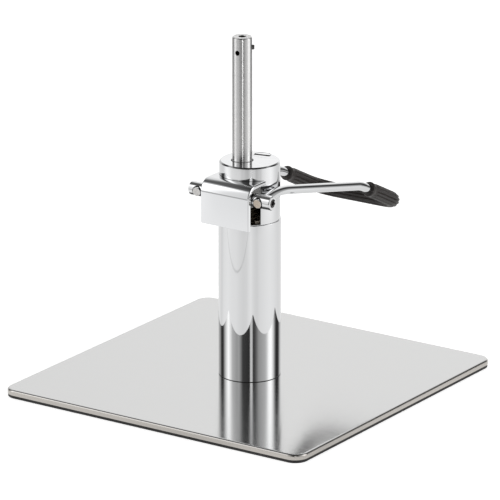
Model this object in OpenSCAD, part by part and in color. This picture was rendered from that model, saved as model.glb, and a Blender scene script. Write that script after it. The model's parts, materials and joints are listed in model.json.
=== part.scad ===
// Hydraulic lift pump on a square floor plate.
// A U-shaped foot pedal works a small plunger pump that raises a steel stem.
// Millimetres, +Z up. The origin is on the floor, on the axis of the column.
// X runs along the lever shaft. The pedal points towards +Y, the lever cover towards -Y.

/* [Base plate] */
// Side length of the square plate
plate_side = 500; // [460:10:560]
// Corner radius of the plate seen from above
plate_corner_r = 20; // [16:1:28]
// Thickness of the stainless sheet that covers the plate
sheet_t = 1.5; // [1:0.25:2]
// Width of the rubber strip under the rim of the plate
strip_w = 12; // [8:1:16]

/* [Column and head] */
// Outside diameter of the column sleeve
column_d = 88; // [86.5:0.5:88.5]
// Height above the floor of the joint between sleeve and head
seam_z = 242.5; // [236.5:2:260.5]
// Outside diameter of the head
head_d = 85.4; // [84.8:0.2:86]
// Height of the head above the joint
head_h = 84; // [82:1:90]

/* [Stem] */
// Diameter of the stem
stem_d = 28; // [26:0.5:28]
// Height of the stem above the head when it is fully lowered
stem_out = 178.5; // [150:0.5:200]
// Travel of the stem
lift = 150; // [120:5:150]

/* [Pedal] */
// Distance from the column axis to the foot bar
pedal_reach = 282; // [272:2:300]
// Half of the distance between the two arms at the foot bar
pedal_half_w = 70; // [66:1:76]
// Diameter of the pedal rod
rod_d = 13; // [12:0.25:13]
// Diameter of the rubber grip
grip_d = 21.6; // [18:0.2:22]
// Total length of the lever shaft
lever_len = 136; // [134:1:142]
// Width of the lever cover
cover_w = 81; // [76:1:82]

/* [Hidden] */
$fn = 64;
eps = 0.01;
slip = 0.04;

// Base plate heights
pad_h = 4.5;
plate_top = pad_h + 8;
rim_bend_r = 3.5;
core_gap = 2.1;
foot_inset = 40;
foot_r = 16;
centre_foot_r = 18;

// Screws that hold the pump to the plate
bolt_circle = 30;
bolt_d = 8;
bolt_hole_r = bolt_d / 2 + 0.3;
bolt_head_r = bolt_d * 0.8;
bolt_head_h = 4;
bolt_seat_h = 4.5;
bolt_bite = 10;
hex_socket_r = 2.9;

// Column, measured from the floor
column_r = column_d / 2;
sleeve_in_r = column_r - 2.5;
foot_h = 0.6;
column_z = plate_top + foot_h;
block_top = plate_top + 40;
block_r = sleeve_in_r - 0.05;
block_foot_r = column_r - 4.1;
socket_z = block_top - 10;
o_ring_r = 1.3;
groove_depth = 2.7;
groove_h = 3.2;
block_groove_z = block_top - 7;

// Head, measured from the floor
head_r = head_d / 2;
head_top = seam_z + head_h;
head_in_r = head_r - 5.2;
ceiling_z = head_top - 15;
spigot_z = seam_z - 10;
window_half_w = 35;
window_z = seam_z + 1;
window_top = head_top - 19.1;
lid_t = 8;
lid_step_r = 36.2;
lid_step_z = window_z + 4;
lid_groove_z = spigot_z - lid_t / 2;
edge_bevel = 1.4;

// Stem, barrel and piston share one axis that is off the column axis
stem_x = -7.5;
stem_y = -7.5;
stem_r = stem_d / 2;
stem_top = head_top + stem_out;
barrel_r = 20;
barrel_in_r = 17;
piston_z = block_top + 10;
piston_h = 20;
washer_t = 2;
shoulder_z = piston_z + piston_h + washer_t;
spindle_r = 9;
nut_h = 7;
gland_h = 40;
gland_z = ceiling_z - gland_h;
spacer_z = piston_z + piston_h + lift + 0.5;
wiper_r = stem_r + 1.6;
wiper_depth = 1.6;
stem_bevel = 1.2;
tap_r = 5.1;
tap_depth = 34;
key_r = 3.4;
key_z = stem_top - 15.5;
key_angle = 35;
key_out = 3;
key_hex_r = 1.8;
side_hole_z = stem_top - 21;
side_hole_angle = -85;
piston_ring_h = 5;
nut_r = 14.5;

// Lever shaft
pivot_y = -46.5;
pivot_z = head_top - 40.3;
lever_r = 10;
lever_shift = 2;
arm_x = 51;
ear_in = 28;
ear_out = 34.8;
ear_r = 11.3;
clip_x = ear_out + 0.3;
clip_t = 1.6;
clip_depth = 0.8;
end_bore_r = 5.6;
set_screw_r = 5.5;
set_screw_hex_r = 3.4;
stud_x = 31.4;
stud_y = 3;
stud_r = 3;
stud_head_r = 4.8;
stud_head_h = 5;
pillar_w = 16;
web_t = 4;
web_len = 13;
arm_under = pivot_z - 7.5;
finger_x = 18;
finger_r = 4.5;
nose_r = 6;

// Lever cover
cover_y = -63;
cover_t = 5;
cover_bend_r = 18;
cover_top = head_top - 19.5;
cover_bottom = seam_z + 1.2;
cover_under = cover_top - cover_t;
cover_back = -20;
cover_screw_x = [-20, 5];
cover_screw_y = -34.5;
cover_screw_r = 2;
cover_screw_head_r = 3.3;
cover_screw_head_h = 2.2;
cover_bend_y = cover_y + cover_bend_r;
cover_bend_z = cover_top - cover_bend_r;

// Plunger pump
plunger_y = -22;
pump = [finger_x, plunger_y];
plunger_r = 4;
plunger_top = pivot_z - nose_r;
button_r = 6;
button_h = 3;
flange_r = 8.6;
flange_t = 3;
tab_w = 7;
tab_end_r = 4.5;
flange_z = plunger_top - button_h - flange_t;
seat_z = seam_z - 6;
pump_r = 8.6;
pump_spigot_r = 7.5;
gland_bore_r = 6.5;
gland_bore_h = 8;
spring_out_r = 8.4;
spring_in_r = 6.2;
plunger_z = block_top + 8;
pedal_travel_deg = 25;
release_gap = (plunger_y - pivot_y) * pedal_travel_deg * PI / 180 + 0.3;

// Release rod and valve pockets, as plan positions
release = [30, -12];
release_r = 3;
release_waist_r = 1.8;
release_travel = 3;
suction = [-27, 14];
inlet = [-8, 30];
outlet = [24, 14];
pocket_r = 4.2;
ball_r = 3.5;
ball_seat_r = 2.6;
valve_z = plate_top + 19;
release_z = plate_top + 20;
low_gallery_z = plate_top + 15;
high_gallery_z = plate_top + 23;
inlet_gallery_z = plate_top + 27.3;
gallery_r = 2;
inlet_gallery_r = 1.3;
drill_past = 3;
suction_r = 2.5;
filter_r = 5;
filter_h = 14;
ball_z = valve_z + sqrt(ball_r * ball_r - ball_seat_r * ball_seat_r) + 0.03;
ball_travel = 3;

// Oil filler
filler = [2, 28.5];
plug_r = 12;
plug_head_h = 5.8;
plug_gap = 0.2;
plug_thread_h = 5;
plug_seal_t = 1;
plug_z = head_top - plug_gap - plug_head_h;
plug_seat_z = plug_z - plug_seal_t;
filler_bore_r = 6.5;
filler_tube_r = 8;
slot_w = 5.6;
slot_depth = 3.2;
slot_angle = 13;

// Pedal rod, as corner points of its centre line on the +X side
rod_r = rod_d / 2;
grip_r = grip_d / 2;
rod_tilt = 6.3;
rod_end = lever_r + 0.7;
bend_y = pivot_y + 45;
rod_front = [arm_x, pivot_y - rod_end * cos(rod_tilt), pivot_z - rod_end * sin(rod_tilt)];
rod_bend = [arm_x, bend_y, pivot_z + (bend_y - pivot_y) * tan(rod_tilt)];
rod_knee = [pedal_half_w, pedal_reach - 104, pivot_z - 31];
rod_corner = [pedal_half_w, pedal_reach, pivot_z - 82.7];
rod_middle = [0, pedal_reach, pivot_z - 82.7];
bend_radius = 120;
knee_radius = 60;
corner_radius = 32;
// Distance from the knee to the end of the grip
grip_lead = 21;
rod_lap = 0.3;
elbow_swell = 0.02;

function unit(v) = v / norm(v);
function turn(a, b, c) = acos(unit(b - a) * unit(c - b));
function setback(a, b, c, r) = r * tan(turn(a, b, c) / 2);
function before(a, b, c, r) = b - unit(b - a) * setback(a, b, c, r);
function after(a, b, c, r) = b + unit(c - b) * setback(a, b, c, r);

// Plain shaped helpers

module mirror_x() {
    children();
    mirror([1, 0, 0]) children();
}

module on_stem() {
    translate([stem_x, stem_y, 0]) children();
}

module at_plan(p) {
    translate([p[0], p[1], 0]) children();
}

module disc(r, z0, z1) {
    translate([0, 0, z0]) cylinder(r = r, h = z1 - z0);
}

module ring(r_out, r_in, z0, z1) {
    difference() {
        disc(r_out, z0, z1);
        disc(r_in, z0 - 1, z1 + 1);
    }
}

module along_x(r, x0, x1) {
    translate([x0, pivot_y, pivot_z]) rotate([0, 90, 0]) cylinder(r = r, h = x1 - x0);
}

module seal_ring(centre_r, z, r) {
    translate([0, 0, z]) rotate_extrude() translate([centre_r, 0]) circle(r = r, $fn = 32);
}

// Groove for a sealing ring in the outside of the valve block or the reservoir lid
module seal_groove(z) {
    translate([0, 0, z]) rotate_extrude()
        translate([block_r - groove_depth, -groove_h / 2]) square([groove_depth + 2, groove_h]);
}

module bolt_pattern() {
    for (a = [45:90:315]) {
        rotate([0, 0, a]) translate([bolt_circle, 0, 0]) children();
    }
}

module gallery(p, q, z, r) {
    run = [q[0] - p[0], q[1] - p[1]];
    translate([p[0], p[1], z])
        rotate([0, 0, atan2(run[1], run[0])])
            rotate([0, 90, 0]) cylinder(r = r, h = norm(run), $fn = 32);
}

module rounded_slab(side, r, z0, z1) {
    half = side / 2 - r;
    union() {
        translate([-side / 2, -half, z0]) cube([side, 2 * half, z1 - z0]);
        translate([-half, -side / 2, z0]) cube([2 * half, side, z1 - z0]);
        for (x = [-half, half]) {
            for (y = [-half, half]) {
                translate([x, y, z0]) cylinder(r = r, h = z1 - z0);
            }
        }
    }
}

// Straight rod between two points, run a little way into the elbows at its ends
module rod_line(a, b, r) {
    d = b - a;
    translate(a - unit(d) * rod_lap)
        rotate([0, acos(d[2] / norm(d)), atan2(d[1], d[0])])
            cylinder(r = r, h = norm(d) + 2 * rod_lap, $fn = 32);
}

// Round elbow at point b between the directions a-b and b-c
module rod_elbow(a, b, c, bend, r) {
    p = before(a, b, c, bend);
    t = unit(b - a);
    n = unit(cross(t, unit(c - b)));
    out = cross(t, n);
    centre = p - out * bend;
    multmatrix([
        [out[0], t[0], n[0], centre[0]],
        [out[1], t[1], n[1], centre[1]],
        [out[2], t[2], n[2], centre[2]],
        [0, 0, 0, 1]
    ])
        rotate_extrude(angle = turn(a, b, c)) translate([bend, 0]) circle(r = r + elbow_swell, $fn = 32);
}

// Foot bar and its corners, from a start point on the side
module foot_loop(start, r) {
    side_end = after(rod_knee, rod_corner, rod_middle, corner_radius);
    mirror_x() {
        rod_line(start, before(rod_knee, rod_corner, rod_middle, corner_radius), r);
        rod_elbow(rod_knee, rod_corner, rod_middle, corner_radius, r);
    }
    rod_line([-side_end[0], side_end[1], side_end[2]], side_end, r);
}

module arms(r) {
    mirror_x() {
        rod_line(rod_front, before(rod_front, rod_bend, rod_knee, bend_radius), r);
        rod_elbow(rod_front, rod_bend, rod_knee, bend_radius, r);
        rod_line(
            after(rod_front, rod_bend, rod_knee, bend_radius),
            before(rod_bend, rod_knee, rod_corner, knee_radius),
            r
        );
        rod_elbow(rod_bend, rod_knee, rod_corner, knee_radius, r);
    }
}

// Base plate

module rim_section() {
    r = plate_corner_r;
    b = rim_bend_r;
    t = sheet_t;
    steps = 6;
    k = b - t;
    turns = [for (i = [0:steps]) 90 * i / steps];
    outer = [for (a = turns) [r - b + b * cos(a), plate_top - b + b * sin(a)]];
    inner = [for (a = turns) [r - b + k * sin(a), plate_top - b + k * cos(a)]];
    polygon(concat(
        [[r, pad_h]],
        outer,
        [[0, plate_top], [0, plate_top - t]],
        inner,
        [[r - t, pad_h]]
    ));
}

module base_cover() {
    half = plate_side / 2 - plate_corner_r;
    color("gainsboro")
        difference() {
            union() {
                translate([-half, -half, plate_top - sheet_t]) cube([2 * half, 2 * half, sheet_t]);
                for (a = [0:90:270]) {
                    rotate([0, 0, a]) {
                        translate([half, half, 0]) rotate_extrude(angle = 90) rim_section();
                        translate([half, half, 0]) rotate([90, 0, 0])
                            linear_extrude(height = 2 * half) rim_section();
                    }
                }
            }
            bolt_pattern() disc(bolt_hole_r, pad_h, plate_top + 1);
        }
}

module base_core() {
    color("dimgray")
        difference() {
            rounded_slab(
                plate_side - 2 * sheet_t - 2 * core_gap,
                plate_corner_r - sheet_t,
                pad_h,
                plate_top - sheet_t
            );
            bolt_pattern() disc(bolt_hole_r, pad_h - 1, plate_top);
            bolt_pattern() disc(bolt_head_r + 0.4, pad_h - 1, pad_h + bolt_seat_h);
        }
}

module base_gasket() {
    inset = 0.6;
    color("black")
        difference() {
            rounded_slab(plate_side - 2 * inset, plate_corner_r - inset, 0, pad_h);
            rounded_slab(
                plate_side - 2 * strip_w,
                plate_corner_r - strip_w / 2,
                -1,
                pad_h + 1
            );
        }
}

module rubber_feet() {
    p = plate_side / 2 - foot_inset;
    color("black") {
        for (x = [-p, p]) {
            for (y = [-p, p]) {
                translate([x, y, 0]) cylinder(r = foot_r, h = pad_h);
            }
        }
        disc(centre_foot_r, 0, pad_h);
    }
}

module base_screws() {
    seat = pad_h + bolt_seat_h;
    color("dimgray")
        bolt_pattern()
            difference() {
                union() {
                    disc(bolt_head_r, seat - bolt_head_h, seat);
                    disc(bolt_d / 2, seat - eps, plate_top + bolt_bite);
                }
                translate([0, 0, seat - bolt_head_h - 1]) cylinder(r = hex_socket_r, h = 3.5, $fn = 6);
            }
}

module foot_seal() {
    color("black") ring(column_r - 0.6, column_r - 4, plate_top, column_z);
}

// Column

module column_sleeve() {
    color("silver") ring(column_r, sleeve_in_r, column_z, seam_z);
}

module valve_block() {
    color("slategray")
        difference() {
            union() {
                disc(block_foot_r, plate_top, column_z + eps);
                disc(block_r, column_z, block_top);
            }
            bolt_pattern() disc(bolt_d / 2 + slip, plate_top - 1, plate_top + bolt_bite + 1);
            seal_groove(block_groove_z);
            on_stem() disc(barrel_r + slip, socket_z, block_top + 1);
            on_stem() disc(3, high_gallery_z - drill_past, socket_z + 1);
            at_plan(pump) disc(pump_spigot_r + slip, socket_z, block_top + 1);
            at_plan(pump) disc(plunger_r, low_gallery_z - drill_past, socket_z + 1);
            at_plan(release) disc(release_r + slip, release_z - release_travel - 1, block_top + 1);
            at_plan(release) disc(release_r + 1.5, release_z + 12, block_top + 1);
            at_plan(suction) disc(suction_r, low_gallery_z - drill_past, block_top + 1);
            for (p = [inlet, outlet]) {
                at_plan(p) disc(pocket_r, valve_z, block_top + 1);
                at_plan(p) disc(ball_seat_r, low_gallery_z - drill_past, valve_z + 1);
            }
            gallery(suction, inlet, low_gallery_z, gallery_r);
            gallery(inlet, pump, inlet_gallery_z, inlet_gallery_r);
            gallery(pump, outlet, low_gallery_z, gallery_r);
            gallery(outlet, [stem_x, stem_y], high_gallery_z, gallery_r);
            gallery(release, [stem_x, stem_y], high_gallery_z, gallery_r);
        }
}

module block_seal() {
    color("black") seal_ring(block_r - o_ring_r, block_groove_z, o_ring_r);
}

module valve_plugs() {
    z0 = ball_z + ball_r + ball_travel + 0.05;
    color("goldenrod")
        for (p = [inlet, outlet]) {
            at_plan(p)
                difference() {
                    disc(pocket_r - slip, z0, block_top);
                    translate([-5, -0.8, block_top - 1.5]) cube([10, 1.6, 2]);
                }
        }
}

module intake_ball() {
    color("silver") translate([inlet[0], inlet[1], ball_z]) sphere(r = ball_r, $fn = 32);
}

module delivery_ball() {
    color("silver") translate([outlet[0], outlet[1], ball_z]) sphere(r = ball_r, $fn = 32);
}

module suction_filter() {
    color("goldenrod")
        at_plan(suction)
            difference() {
                union() {
                    disc(filter_r, block_top, block_top + filter_h);
                    disc(suction_r - slip, block_top - 5, block_top + eps);
                }
                disc(1.6, block_top - 6, block_top + filter_h - 2);
                for (z = [3:3:9]) {
                    translate([-filter_r - 1, -0.5, block_top + z]) cube([2 * filter_r + 2, 1, 1.2]);
                }
            }
}

module cylinder_barrel() {
    color("lightsteelblue") on_stem() ring(barrel_r, barrel_in_r, socket_z, ceiling_z);
}

module plunger_barrel() {
    color("lightsteelblue")
        at_plan(pump)
            difference() {
                union() {
                    disc(pump_spigot_r, socket_z, block_top + 4 + eps);
                    disc(pump_r, block_top + 4, seat_z);
                }
                disc(plunger_r + slip, socket_z - 1, seat_z + 1);
                disc(gland_bore_r, seat_z - gland_bore_h, seat_z + 1);
            }
}

module plunger_seal() {
    color("black") at_plan(pump)
        ring(gland_bore_r - slip, plunger_r + slip, seat_z - gland_bore_h, seat_z - gland_bore_h / 2);
}

module plunger_gland() {
    color("goldenrod") at_plan(pump)
        ring(gland_bore_r - slip, plunger_r + slip, seat_z - gland_bore_h / 2, seat_z);
}

module reservoir_lid() {
    under = spigot_z - lid_t - 1;
    over = lid_step_z + 1;
    color("slategray")
        difference() {
            union() {
                disc(block_r, spigot_z - lid_t, spigot_z);
                disc(lid_step_r, spigot_z - eps, lid_step_z);
            }
            seal_groove(lid_groove_z);
            on_stem() disc(barrel_r + slip, under, over);
            at_plan(pump) disc(pump_r + slip, under, over);
            at_plan(release) disc(release_r + slip, under, over);
            at_plan(filler) disc(filler_tube_r + slip, under, over);
        }
}

module lid_seal() {
    color("black") seal_ring(block_r - o_ring_r, lid_groove_z, o_ring_r);
}

// Head

module head_shell() {
    color("silver")
        difference() {
            rotate_extrude(convexity = 4)
                polygon([
                    [0, ceiling_z],
                    [head_in_r, ceiling_z],
                    [head_in_r, spigot_z],
                    [block_r, spigot_z],
                    [block_r, seam_z],
                    [head_r, seam_z],
                    [head_r, head_top - edge_bevel],
                    [head_r - edge_bevel, head_top],
                    [0, head_top]
                ]);
            translate([-window_half_w, -head_r - 1, window_z])
                cube([2 * window_half_w, head_r - 12, window_top - window_z]);
            on_stem() disc(wiper_r, ceiling_z - 1, head_top + 1);
            at_plan(filler) disc(filler_tube_r + slip, ceiling_z - 1, ceiling_z + 5);
            at_plan(filler) disc(filler_bore_r, ceiling_z, head_top);
            at_plan(filler) disc(plug_r + slip, plug_seat_z, head_top + 1);
            for (x = [-stud_x, stud_x]) {
                translate([x, stud_y, 0]) disc(stud_r + slip, ceiling_z - 1, ceiling_z + 9.5);
            }
        }
}

module shaft_gland() {
    color("goldenrod")
        on_stem()
            difference() {
                disc(barrel_in_r - slip, gland_z, ceiling_z);
                disc(stem_r + slip, gland_z - 1, ceiling_z + 1);
                translate([0, 0, ceiling_z - 12]) rotate_extrude()
                    translate([barrel_in_r - 2.4, -1.5]) square([5, 3]);
            }
}

module gland_seal() {
    color("black") on_stem() seal_ring(barrel_in_r - 1.25, ceiling_z - 12, 1.1);
}

module stroke_spacer() {
    color("lightsteelblue") on_stem() ring(barrel_in_r - 0.2, stem_r + 0.6, spacer_z, gland_z);
}

module wiper_ring() {
    color("black") on_stem() ring(wiper_r - slip, stem_r + slip, ceiling_z + 1, head_top - wiper_depth);
}

module filler_plug() {
    color("silver")
        at_plan(filler)
            difference() {
                union() {
                    disc(plug_r, plug_z, head_top - plug_gap);
                    disc(filler_bore_r - slip, plug_z - plug_thread_h, plug_z + eps);
                }
                rotate([0, 0, slot_angle])
                    translate([-plug_r - 1, -slot_w / 2, head_top - plug_gap - slot_depth])
                        cube([2 * plug_r + 2, slot_w, slot_depth + 1]);
            }
}

module plug_seal() {
    color("black") at_plan(filler) ring(plug_r - 0.4, filler_bore_r + slip, plug_seat_z, plug_z);
}

module filler_tube() {
    color("lightsteelblue") at_plan(filler)
        ring(filler_tube_r, filler_bore_r, spigot_z - lid_t - 4, ceiling_z + 5);
}

module lever_bracket() {
    ear_w = ear_out - ear_in;
    color("slategray")
        difference() {
            union() {
                mirror_x() {
                    along_x(ear_r, ear_in, ear_out);
                    translate([ear_in, cover_bend_y, arm_under])
                        cube([ear_w, pillar_w / 2 - cover_bend_y, cover_under - arm_under]);
                    translate([ear_in, -pillar_w / 2, pivot_z])
                        cube([ear_w, pillar_w, ceiling_z - pivot_z]);
                }
                translate([-ear_out, cover_bend_y, cover_under - web_t])
                    cube([2 * ear_out, web_len, web_t]);
            }
            along_x(lever_r + slip, -ear_out - 1, ear_out + 1);
            for (x = [-stud_x, stud_x]) {
                translate([x, stud_y, 0]) disc(stud_r + slip, arm_under - 1, ceiling_z + 1);
            }
            for (x = cover_screw_x) {
                translate([x, cover_screw_y, 0])
                    disc(cover_screw_r + slip, cover_under - web_t - 1, cover_under + 1);
            }
        }
}

// Screw that enters from below: a round head with a hexagon socket, and a plain shank
module lifting_screw(head_radius, head_height, shank_radius, seat_height, shank_top, hex_radius) {
    difference() {
        union() {
            disc(head_radius, seat_height - head_height, seat_height);
            disc(shank_radius, seat_height - eps, shank_top);
        }
        translate([0, 0, seat_height - head_height - 1])
            cylinder(r = hex_radius, h = head_height * 0.6 + 1, $fn = 6);
    }
}

module bracket_screws() {
    color("dimgray")
        for (x = [-stud_x, stud_x]) {
            translate([x, stud_y, 0])
                lifting_screw(stud_head_r, stud_head_h, stud_r, arm_under, ceiling_z + 9, 2.5);
        }
}

module cover_plate() {
    half = cover_w / 2;
    color("silver")
        difference() {
            union() {
                translate([-half, cover_y, cover_bottom])
                    cube([cover_w, cover_t, cover_bend_z - cover_bottom]);
                translate([-half, cover_bend_y, cover_bend_z]) rotate([0, 90, 0]) rotate([0, 0, 180])
                    rotate_extrude(angle = 90, $fn = 96)
                        translate([cover_bend_r - cover_t, 0]) square([cover_t, cover_w]);
                translate([-half, cover_bend_y, cover_under])
                    cube([cover_w, cover_back - cover_bend_y, cover_t]);
            }
            difference() {
                disc(head_r + 0.4, cover_under - 1, cover_top + 1);
                translate([-window_half_w + 0.3, -60, cover_under - 2])
                    cube([2 * window_half_w - 0.6, 60, cover_t + 4]);
            }
            on_stem() disc(barrel_r + 0.4, cover_under - 1, cover_top + 1);
            for (x = cover_screw_x) {
                translate([x, cover_screw_y, 0])
                    disc(cover_screw_r + slip, cover_under - 1, cover_under + 3.5);
            }
        }
}

module cover_screws() {
    seat = cover_under - web_t;
    color("dimgray")
        for (x = cover_screw_x) {
            translate([x, cover_screw_y, 0])
                lifting_screw(
                    cover_screw_head_r, cover_screw_head_h, cover_screw_r, seat, cover_under + 3.2, 1.3
                );
        }
}

// Stem and piston

module piston_shaft() {
    color("lightgray")
        on_stem()
            difference() {
                rotate_extrude()
                    polygon([
                        [0, piston_z - nut_h - 1],
                        [spindle_r, piston_z - nut_h - 1],
                        [spindle_r, shoulder_z],
                        [stem_r, shoulder_z],
                        [stem_r, stem_top - stem_bevel],
                        [stem_r - stem_bevel, stem_top],
                        [0, stem_top]
                    ]);
                disc(tap_r, stem_top - tap_depth, stem_top + 1);
                rotate([0, 0, side_hole_angle]) translate([0, 0, side_hole_z])
                    rotate([0, 90, 0]) cylinder(r = key_r, h = stem_r + 1, $fn = 32);
                rotate([0, 0, key_angle]) translate([0, 0, key_z])
                    rotate([0, 90, 0]) cylinder(r = key_r + 0.02, h = stem_r + 1, $fn = 32);
            }
}

module key_screw() {
    inner_end = tap_r + 0.6;
    length = stem_r + key_out - inner_end;
    color("dimgray")
        on_stem()
            rotate([0, 0, key_angle]) translate([inner_end, 0, key_z]) rotate([0, 90, 0])
                difference() {
                    cylinder(r = key_r, h = length, $fn = 32);
                    translate([0, 0, length - 2.5]) cylinder(r = key_hex_r, h = 4, $fn = 6);
                }
}

module thrust_washer() {
    color("goldenrod") on_stem() ring(13.2, spindle_r + slip, shoulder_z - washer_t, shoulder_z);
}

module piston() {
    color("slategray")
        on_stem()
            difference() {
                disc(barrel_in_r - slip, piston_z, piston_z + piston_h);
                disc(spindle_r + slip, piston_z - 1, piston_z + piston_h + 1);
                translate([0, 0, piston_z + (piston_h - piston_ring_h) / 2]) rotate_extrude()
                    translate([barrel_in_r - 3.2, 0]) square([6, piston_ring_h]);
            }
}

module piston_seal() {
    middle = piston_z + piston_h / 2;
    half = piston_ring_h / 2 - 0.1;
    color("black") on_stem() ring(barrel_in_r - slip, barrel_in_r - 3.1, middle - half, middle + half);
}

module piston_nut() {
    color("dimgray")
        on_stem()
            difference() {
                translate([0, 0, piston_z - nut_h]) cylinder(r = nut_r, h = nut_h, $fn = 6);
                disc(spindle_r + 0.02, piston_z - nut_h - 1, piston_z + 1);
            }
}

// Lever and pedal

module cross_shaft() {
    left = lever_shift - lever_len / 2;
    right = lever_shift + lever_len / 2;
    edge = 1;
    groove_r = lever_r - clip_depth;
    color("silver")
        difference() {
            translate([0, pivot_y, pivot_z]) rotate([0, 90, 0]) rotate_extrude()
                polygon([
                    [0, left],
                    [lever_r - edge, left],
                    [lever_r, left + edge],
                    [lever_r, right - edge],
                    [lever_r - edge, right],
                    [0, right]
                ]);
            mirror_x() {
                along_x(end_bore_r, arm_x, right + 1);
                translate([arm_x, pivot_y, pivot_z]) rotate([rod_tilt - 90, 0, 0])
                    translate([0, 0, -20]) cylinder(r = rod_r + 0.03, h = 40, $fn = 32);
                difference() {
                    along_x(lever_r + 1, clip_x, clip_x + clip_t + 0.05);
                    along_x(groove_r, clip_x - 1, clip_x + clip_t + 1);
                }
            }
            translate([finger_x, pivot_y - 20, pivot_z]) rotate([-90, 0, 0])
                cylinder(r = finger_r + 0.02, h = 40, $fn = 32);
        }
}

module shaft_clips() {
    color("dimgray")
        mirror_x()
            difference() {
                along_x(lever_r + 1.3, clip_x + 0.02, clip_x + clip_t);
                along_x(lever_r - clip_depth + 0.05, clip_x - 1, clip_x + clip_t + 1);
                translate([clip_x - 1, pivot_y - 20, pivot_z - 2.5]) cube([clip_t + 2, 20, 5]);
            }
}

module rod_set_screws() {
    x0 = arm_x + rod_r + 0.1;
    x1 = lever_len / 2 - lever_shift - 2.5;
    color("dimgray")
        mirror_x()
            difference() {
                along_x(set_screw_r, x0, x1);
                translate([x1 - 5, pivot_y, pivot_z]) rotate([0, 90, 0])
                    cylinder(r = set_screw_hex_r, h = 6, $fn = 6);
            }
}

module cam_finger() {
    front = pivot_y - lever_r + 0.5;
    color("dimgray")
        union() {
            translate([finger_x, front, pivot_z]) rotate([-90, 0, 0])
                cylinder(r = finger_r, h = plunger_y - front, $fn = 32);
            translate([finger_x, plunger_y, pivot_z]) sphere(r = nose_r, $fn = 48);
        }
}

module pedal_bar() {
    color("silver")
        union() {
            arms(rod_r);
            foot_loop(after(rod_bend, rod_knee, rod_corner, knee_radius), rod_r);
        }
}

module pedal_grip() {
    knee_end = after(rod_bend, rod_knee, rod_corner, knee_radius);
    color("black")
        difference() {
            foot_loop(rod_knee + unit(rod_corner - rod_knee) * grip_lead, grip_r);
            foot_loop(knee_end, rod_r + 0.05);
        }
}

// Plunger and release rod

module plunger() {
    color("lightgray") at_plan(pump) disc(plunger_r, plunger_z, flange_z);
}

module plunger_cap() {
    reach = release - pump;
    color("dimgray")
        union() {
            at_plan(pump) disc(flange_r, flange_z, flange_z + flange_t);
            at_plan(pump) disc(button_r, flange_z + flange_t - eps, plunger_top);
            at_plan(release) disc(tab_end_r, flange_z, flange_z + flange_t);
            translate([pump[0], pump[1], flange_z]) rotate([0, 0, atan2(reach[1], reach[0])])
                translate([0, -tab_w / 2, 0]) cube([norm(reach), tab_w, flange_t]);
        }
}

module plunger_spring() {
    color("dimgray") at_plan(pump) ring(spring_out_r, spring_in_r, seat_z, flange_z);
}

module release_rod() {
    color("lightgray")
        at_plan(release)
            difference() {
                disc(release_r, release_z, flange_z - release_gap);
                ring(release_r + 1, release_waist_r, release_z + 6, release_z + 14);
            }
}

base_cover();
base_core();
base_gasket();
rubber_feet();
base_screws();
foot_seal();
column_sleeve();
valve_block();
block_seal();
valve_plugs();
intake_ball();
delivery_ball();
suction_filter();
cylinder_barrel();
plunger_barrel();
plunger_seal();
plunger_gland();
reservoir_lid();
lid_seal();
head_shell();
shaft_gland();
gland_seal();
stroke_spacer();
wiper_ring();
filler_plug();
plug_seal();
filler_tube();
lever_bracket();
bracket_screws();
cover_plate();
cover_screws();
piston_shaft();
key_screw();
thrust_washer();
piston();
piston_seal();
piston_nut();
cross_shaft();
shaft_clips();
rod_set_screws();
cam_finger();
pedal_bar();
pedal_grip();
plunger();
plunger_cap();
plunger_spring();
release_rod();
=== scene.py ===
"""Looks for the hydraulic chair lift pump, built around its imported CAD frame.

Lengths are in millimetres until a mesh is made, then in metres, in the frame of the CAD part.
The lever shaft runs along X, the pedal points towards +Y and the lever cover towards -Y.
"""

import json
import math

import bmesh
import bpy
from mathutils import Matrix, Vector


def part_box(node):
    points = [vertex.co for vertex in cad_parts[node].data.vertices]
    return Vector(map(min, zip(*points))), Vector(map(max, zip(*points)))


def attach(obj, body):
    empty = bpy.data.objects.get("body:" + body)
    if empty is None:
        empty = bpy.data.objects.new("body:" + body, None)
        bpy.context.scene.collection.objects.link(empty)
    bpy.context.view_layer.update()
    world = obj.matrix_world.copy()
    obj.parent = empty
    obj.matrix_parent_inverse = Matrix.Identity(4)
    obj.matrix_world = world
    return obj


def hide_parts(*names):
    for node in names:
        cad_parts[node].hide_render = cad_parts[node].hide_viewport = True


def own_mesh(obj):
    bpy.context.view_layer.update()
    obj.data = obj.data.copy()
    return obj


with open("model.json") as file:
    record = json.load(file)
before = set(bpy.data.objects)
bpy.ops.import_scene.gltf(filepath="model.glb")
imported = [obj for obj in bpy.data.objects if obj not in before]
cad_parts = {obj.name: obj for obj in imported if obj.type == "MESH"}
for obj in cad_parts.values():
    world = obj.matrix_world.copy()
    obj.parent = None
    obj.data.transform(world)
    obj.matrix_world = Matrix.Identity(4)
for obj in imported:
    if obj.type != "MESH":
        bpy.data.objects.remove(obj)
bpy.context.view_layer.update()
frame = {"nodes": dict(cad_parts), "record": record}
scene = bpy.context.scene
MM = 0.001
TAU = 2 * math.pi


def span(node):
    """Lowest and highest corner of a CAD node, in millimetres."""
    lo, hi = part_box(node)
    return lo / MM, hi / MM


# ---------------------------------------------------------------- places read from the frame

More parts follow.
